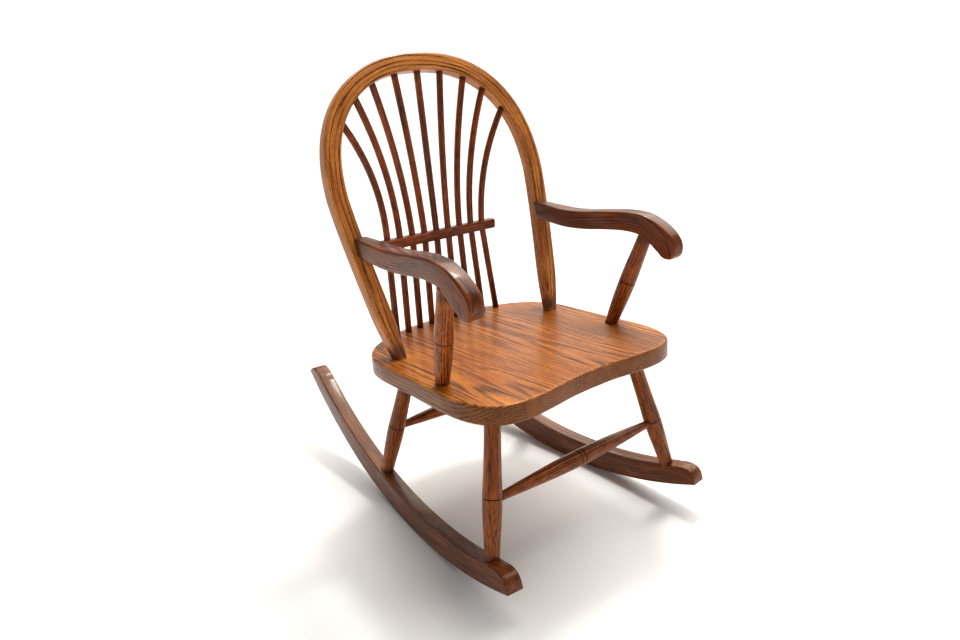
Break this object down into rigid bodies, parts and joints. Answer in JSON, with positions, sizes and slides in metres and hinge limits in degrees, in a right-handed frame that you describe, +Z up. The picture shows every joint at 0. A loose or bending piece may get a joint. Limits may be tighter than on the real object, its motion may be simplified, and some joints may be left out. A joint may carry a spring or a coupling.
{
  "type": "child's rocking chair",
  "caption": "Sheaf-back oak rocking chair for a child: shaped plank seat, bent bow, curved spindles through a crossbar, scrolled arms, turned posts and legs, curved rockers.",
  "frame": {"origin": "on the floor, at the centre of the box around the whole chair", "axes": "+X to the sitter's left, across the chair; +Y towards the back; +Z up. The chair stands at rest on the low points of its two rockers"},
  "size_m": [0.3754, 0.6074, 0.6488],
  "materials": {
    "oak_seat": "satin",
    "oak_bow": "satin",
    "oak_arm": "satin",
    "oak_turned": "satin",
    "oak_rocker": "satin",
    "oak_spindle": "satin",
    "oak_plug": "satin",
    "screw_steel": "brushed"
  },
  "bodies": {
    "root": {"arm_left": "oak_arm", "arm_post_left": "oak_turned", "arm_post_right": "oak_turned", "arm_right": "oak_arm", "arm_screw_left": "screw_steel", "arm_screw_right": "screw_steel", "bow": "oak_bow", "crossbar": "oak_spindle", "front_leg_left": "oak_turned", "front_leg_right": "oak_turned", "front_stretcher": "oak_turned", "rear_leg_left": "oak_turned", "rear_leg_right": "oak_turned", "rear_stretcher": "oak_turned", "rocker_left": "oak_rocker", "rocker_right": "oak_rocker", "screw_plug_left": "oak_plug", "screw_plug_right": "oak_plug", "seat": "oak_seat", "spindle_1": "oak_spindle", "spindle_2": "oak_spindle", "spindle_3": "oak_spindle", "spindle_4": "oak_spindle", "spindle_5": "oak_spindle", "spindle_6": "oak_spindle", "spindle_7": "oak_spindle", "spindle_8": "oak_spindle", "spindle_9": "oak_spindle"}
  },
  "joints": []
}
